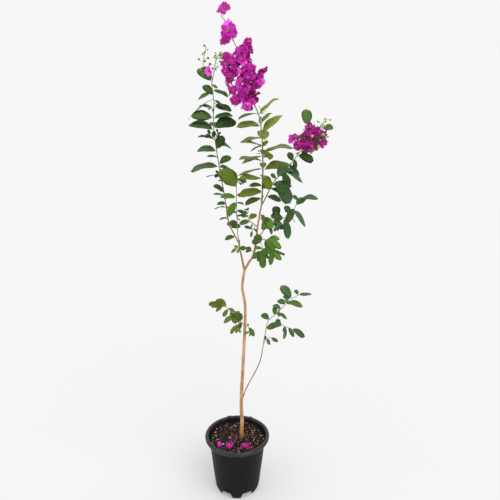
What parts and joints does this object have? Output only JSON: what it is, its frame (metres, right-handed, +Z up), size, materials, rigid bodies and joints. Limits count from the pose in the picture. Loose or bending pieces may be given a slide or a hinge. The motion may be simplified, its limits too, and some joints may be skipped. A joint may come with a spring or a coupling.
{
  "type": "crape myrtle tree in a nursery pot",
  "caption": "Young crape myrtle in bloom on one slender trunk, with sparse boughs, leafy shoots and magenta flower panicles, rooted in a black nursery pot.",
  "frame": {"origin": "middle of the flat underside of the pot, which the plant stands on", "axes": "+Z up along the trunk, +X to the right and -Y towards the front as the plant was viewed"},
  "size_m": [0.3928, 0.2182, 1.4218],
  "materials": {
    "pot_plastic": "blow moulded black plastic, satin on the lip and matt with dust on the wall",
    "potting_mix": "damp bark and peat mix with white grit",
    "bark": "smooth tan bark with fine peeling streaks",
    "leaf_dark": "dark green leaves, slightly glossy above",
    "leaf_olive": "young olive green leaves lit through",
    "leaf_green": "mid green leaves",
    "blossom": "thin crinkled magenta petals",
    "bud": "smooth olive flower buds"
  },
  "bodies": {
    "root": {"pot": "pot_plastic", "soil": "potting_mix", "trunk": "bark", "bough_right": "bark", "bough_left": "bark", "bough_side": "bark", "shoot_left": "leaf_dark", "panicle_left": "bud", "shoot_middle": "leaf_olive", "shoot_leader": "leaf_olive", "panicle_main": "blossom", "shoot_right": "leaf_dark", "panicle_right": "blossom", "twig_right": "leaf_dark", "spray_front": "leaf_green", "spray_cross": "leaf_green", "spray_inner": "leaf_dark", "spray_heart": "leaf_dark", "spray_low_left": "leaf_olive", "spray_low_mid": "leaf_green", "spray_low_right": "leaf_green", "fallen_blossom_middle": "blossom", "fallen_blossom_left": "blossom", "fallen_blossom_edge": "blossom"}
  },
  "joints": []
}
